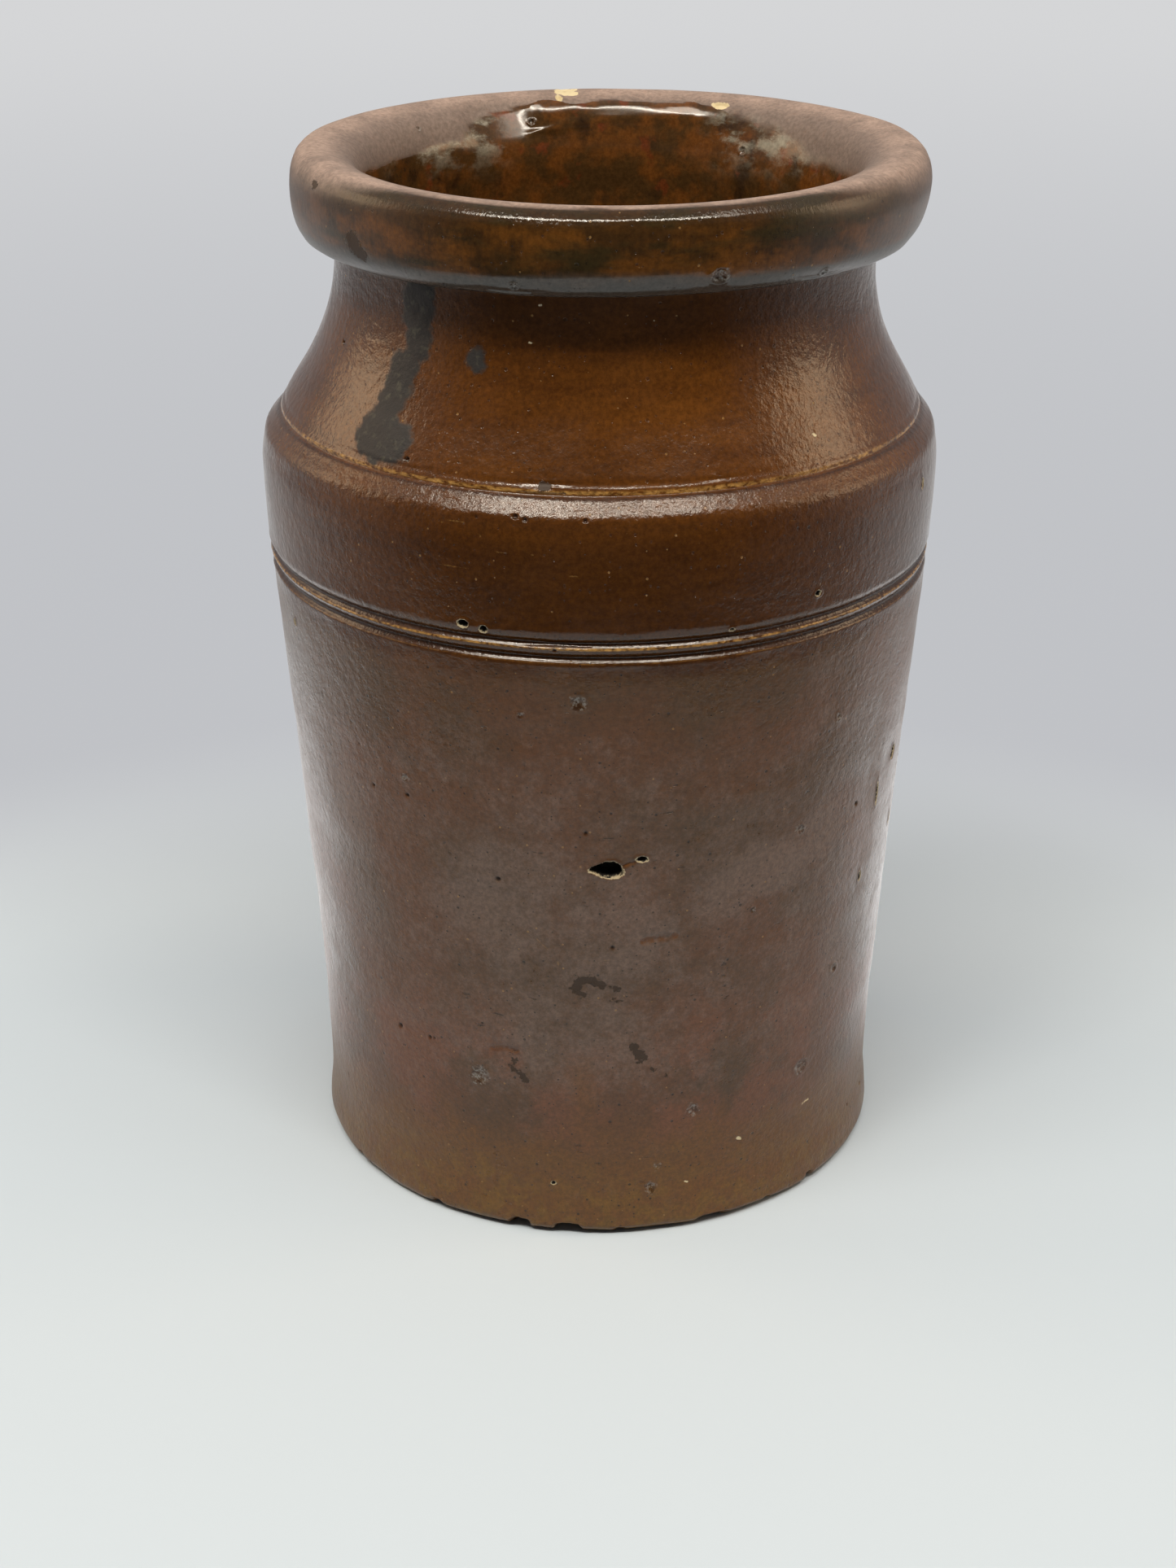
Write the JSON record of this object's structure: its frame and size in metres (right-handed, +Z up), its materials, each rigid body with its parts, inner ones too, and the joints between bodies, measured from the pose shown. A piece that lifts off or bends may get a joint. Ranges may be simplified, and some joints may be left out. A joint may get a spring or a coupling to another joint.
{
  "type": "ceramic crock fermenter",
  "caption": "Open brown-glazed stoneware crock with a rolled rim, short neck and incised bands, and half-round stoneware weights inside that hold fermenting food under brine.",
  "frame": {"origin": "centre of the crock's flat base, on the surface it stands on", "axes": "+Z up along the crock's turning axis, -Y towards the front, +X to the right"},
  "size_m": [0.1346, 0.1346, 0.21],
  "materials": {
    "glazed_stoneware": "glossy dark brown glaze, matt greyish bloom on the belly",
    "weight_stoneware": "unglazed, food-safe vitrified stoneware"
  },
  "bodies": {
    "crock_body": {"crock": "glazed_stoneware"},
    "left_weight": {"weight_left": "weight_stoneware"},
    "right_weight": {"weight_right": "weight_stoneware"}
  },
  "joints": [
    {"name": "left_weight_lift", "type": "slide", "parent": "crock_body", "child": "left_weight", "axis": [0, 0, 1], "range_m": [0, 0.215]},
    {"name": "right_weight_lift", "type": "slide", "parent": "crock_body", "child": "right_weight", "axis": [0, 0, 1], "range_m": [0, 0.215]}
  ]
}
